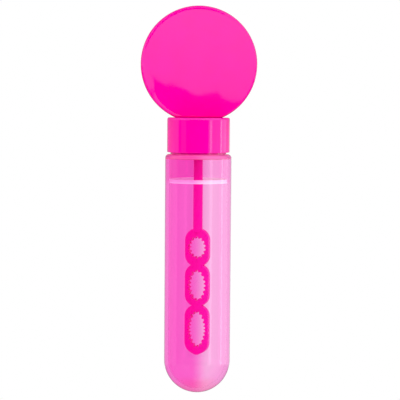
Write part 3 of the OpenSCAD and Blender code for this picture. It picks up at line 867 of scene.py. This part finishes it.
class BUBBLE_WAND_OT_cap(bpy.types.Operator):
    """Builds the screw cap with its thread, band, wand's socket and disc's pocket"""

    bl_idname = "bubble_wand.cap"
    bl_label = "Build the screw cap"

    def execute(self, context):
        s, wand = context.scene.bubble_wand_cap, context.scene.bubble_wand_wand
        disc = context.scene.bubble_wand_disc
        r, bore, boss = s.diameter / 2, s.bore / 2, s.socket / 2
        deck, hole = s.top - s.deck, wand.stem / 2 + s.play
        mouth = deck - s.socket_depth
        ring = wand.snap_round + s.play
        centre = wand.stem / 2 + wand.snap_proud - wand.snap_round
        reach = math.degrees(math.acos((hole - centre) / ring))
        soft, inside = s.lower_edge, s.band_in / 2
        outside = inside + s.band_wall
        shape = profile(
            (0, deck),
            (hole, deck),
            arc((centre, wand.snap), ring, reach, -reach, EDGE_ARC),
            (hole, mouth + s.lead_in),
            (hole + s.lead_in, mouth),
            (boss, mouth),
            (boss, deck),
            (bore, deck),
            line((bore, deck), (bore, s.low + s.band_sink), THREAD_STEP),
            (inside, s.low + s.band_sink),
            (inside, s.band),
            (outside, s.band),
            (outside, s.low),
            arc((r - soft, s.low + soft), soft, -90, 0, SMALL_ARC),
            line((r, s.low + soft), (r, s.top - s.edge), CAP_SIDE_STEP),
            arc((r - s.edge, s.top - s.edge), s.edge, 0, 90, EDGE_ARC),
            line((r - s.edge, s.top), (0, s.top), CAP_TOP_STEP),
        )
        cap = skinned("cap", threaded(turned(shape), bore, s.cap_thread, -1))
        low = s.top - disc.tongue_depth - s.play
        outline = box_outline(disc.tongue_width + 2 * s.play, low, s.top + OVER)
        merge(cap, bar("pocket", outline, disc.tongue_length / 2 + s.play), "DIFFERENCE")
        smoothed(cap)
        # Painted shade on the cap's band below the skirt.
        painted_shade = (0, 0, 1), (0, 0, s.top), s.top - s.low - BAND_EDGE, s.top - s.low
        # Its thin wall lets the light through that the neck and the shoulder glow with.
        plastic = gloss_polypropylene(
            "pink_polypropylene_cap", s.plastic, GLOSS, through=CAP_PASSES, painted_shade=painted_shade
        )
        finish_piece(cap, "cap", "screw_cap", plastic)
        return {"FINISHED"}


class BUBBLE_WAND_OT_disc(bpy.types.Operator):
    """Builds the round disc, with its rounded rim, its rounded foot and its tongue"""

    bl_idname = "bubble_wand.disc"
    bl_label = "Build the round disc"

    def execute(self, context):
        s, cap = context.scene.bubble_wand_disc, context.scene.bubble_wand_cap
        r, half, centre = s.diameter / 2, s.thickness / 2, s.top - s.diameter / 2
        flat = r - s.rim
        shape = profile(
            line((0, -half), (flat, -half), BACK_STEP),
            arc((flat, s.rim - half), s.rim, -90, 0, RIM_ARC),
            line((r, s.rim - half), (r, half - s.rim), RIM_STEP),
            arc((flat, half - s.rim), s.rim, 0, 90, RIM_ARC),
            line((flat, half), (flat - DIP_ZONE, half), DIP_STEP),
            line((flat - DIP_ZONE, half), (0, half), FACE_STEP),
        )
        x, back, up = np.moveaxis(turned(shape), 2, 0)
        y, z = -up, back + centre
        # A moulded face warps as it cools. Its lean changes with x, by thousandths, and
        # it dips inside the rim by its distance beyond a circle times a lean.
        warp = np.interp(x, LEAN_X, LEAN) * (z - DISC_LEVEL)
        angle, away = np.arctan2(z - centre, x) % (2 * np.pi), np.hypot(x, z - centre)
        near = np.exp(-(((angle - WIDEST) / SPREAD) ** 2))
        inset = flat - GENTLE_WIDTH - GENTLE_EXTRA * near
        low_left = (angle > np.pi) & (angle < 1.5 * np.pi)
        warp = warp + GENTLE * np.maximum(np.minimum(away, flat) - inset, 0) * low_left
        share = np.interp(np.degrees(angle), STEEP_ANGLES, STEEP_SHARES)
        steep = np.maximum(np.minimum(away, flat) - (flat - STEEP_WIDTH), 0)
        warp = warp + STEEP * share * steep
        front = np.clip(-y / (half - s.rim), 0, 1)
        y = y + (warp.max() - warp) * front
        disc = skinned("disc", np.stack([x, y, z], 2))
        low, side = cap.top, half + s.foot_spare
        foot = profile(
            arc((side - s.foot, low + s.foot), s.foot, -90, 0, FOOT_ARC),
            [(side, s.top + OVER), (-side, s.top + OVER)],
            arc((s.foot - side, low + s.foot), s.foot, 180, 270, FOOT_ARC),
        )
        merge(disc, bar("foot", foot, r + OVER), "INTERSECT")
        outline = box_outline(s.tongue_width, low - s.tongue_depth, low + s.tongue_root)
        merge(disc, bar("tongue", outline, s.tongue_length / 2), "UNION")
        smoothed(disc)
        # Painted shade along the disc's rim.
        painted_shade = (1, 0, 1), (0, 0, centre), r - PAINTED_SHADE_START, r - PAINTED_SHADE_FULL
        name = "pink_polypropylene_disc"
        plastic = gloss_polypropylene(name, cap.plastic, GLOSS, painted_shade=painted_shade)
        finish_piece(disc, "cap", "head_disc", plastic)
        return {"FINISHED"}


class BUBBLE_WAND_OT_liner(bpy.types.Operator):
    """Gives the cap's foam liner its finish"""

    bl_idname = "bubble_wand.liner"
    bl_label = "Finish the liner"

    def execute(self, context):
        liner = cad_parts["cap_liner"]
        liner.data.materials.clear()
        liner.data.materials.append(polyethylene_foam())
        return {"FINISHED"}


class BUBBLE_WAND_OT_studio(bpy.types.Operator):
    """Sets up the floor, the soft studio light and the camera"""

    bl_idname = "bubble_wand.studio"
    bl_label = "Set up the studio"

    def execute(self, context):
        s, scene = context.scene.bubble_wand_studio, context.scene
        rings = line((s.floor_size, -s.floor_drop), (0, -s.floor_drop), FLOOR_STEP)
        floor = skinned("floor", turned(rings, FEW_ROUND))
        floor.data.materials.append(pale_floor())
        scene.world = bpy.data.worlds.new("studio")
        softboxes(scene.world)
        scene.view_settings.view_transform = "Standard"
        data = bpy.data.cameras.new("camera")
        data.lens, data.clip_start = CAMERA_LENS, CAMERA_CLIP
        camera = bpy.data.objects.new("camera", data)
        scene.collection.objects.link(camera)
        place = Vector((0, -s.camera_back, s.camera_height))
        away = place - Vector(CAMERA_AIM)
        upright = away.to_track_quat("Z", "Y").to_matrix()
        turn = upright @ Matrix.Rotation(math.radians(CAMERA_ROLL), 3, "Z")
        camera.matrix_world = Matrix.Translation(place) @ turn.to_4x4()
        scene.camera = camera
        return {"FINISHED"}


STEPS = (
    BUBBLE_WAND_OT_tube,
    BUBBLE_WAND_OT_liquid,
    BUBBLE_WAND_OT_wand,
    BUBBLE_WAND_OT_cap,
    BUBBLE_WAND_OT_disc,
    BUBBLE_WAND_OT_liner,
    BUBBLE_WAND_OT_studio,
)


class BUBBLE_WAND_PT_build(bpy.types.Panel):
    """Lists the wand's settings and the steps that build it."""

    bl_idname = "BUBBLE_WAND_PT_build"
    bl_label = "Bubble wand"
    bl_space_type = "VIEW_3D"
    bl_region_type = "UI"
    bl_category = "Bubble wand"

    def draw(self, context):
        for name, group in SETTINGS.items():
            box = self.layout.box()
            box.label(text=group.__doc__)
            for field in group.__annotations__:
                box.prop(getattr(context.scene, name), field)
        for step in STEPS:
            self.layout.operator(step.bl_idname)


def register():
    """Registers the add-on's classes and gives each scene the settings."""
    for kind in (*SETTINGS.values(), *STEPS, BUBBLE_WAND_PT_build):
        bpy.utils.register_class(kind)
    for name, group in SETTINGS.items():
        setattr(bpy.types.Scene, name, bpy.props.PointerProperty(type=group))


def unregister():
    """Takes back what register does."""
    for name in SETTINGS:
        delattr(bpy.types.Scene, name)
    for kind in (BUBBLE_WAND_PT_build, *reversed(STEPS), *SETTINGS.values()):
        bpy.utils.unregister_class(kind)


def main():
    register()
    for step in STEPS:
        group, action = step.bl_idname.split(".")
        getattr(getattr(bpy.ops, group), action)()


if __name__ == "__main__":
    main()
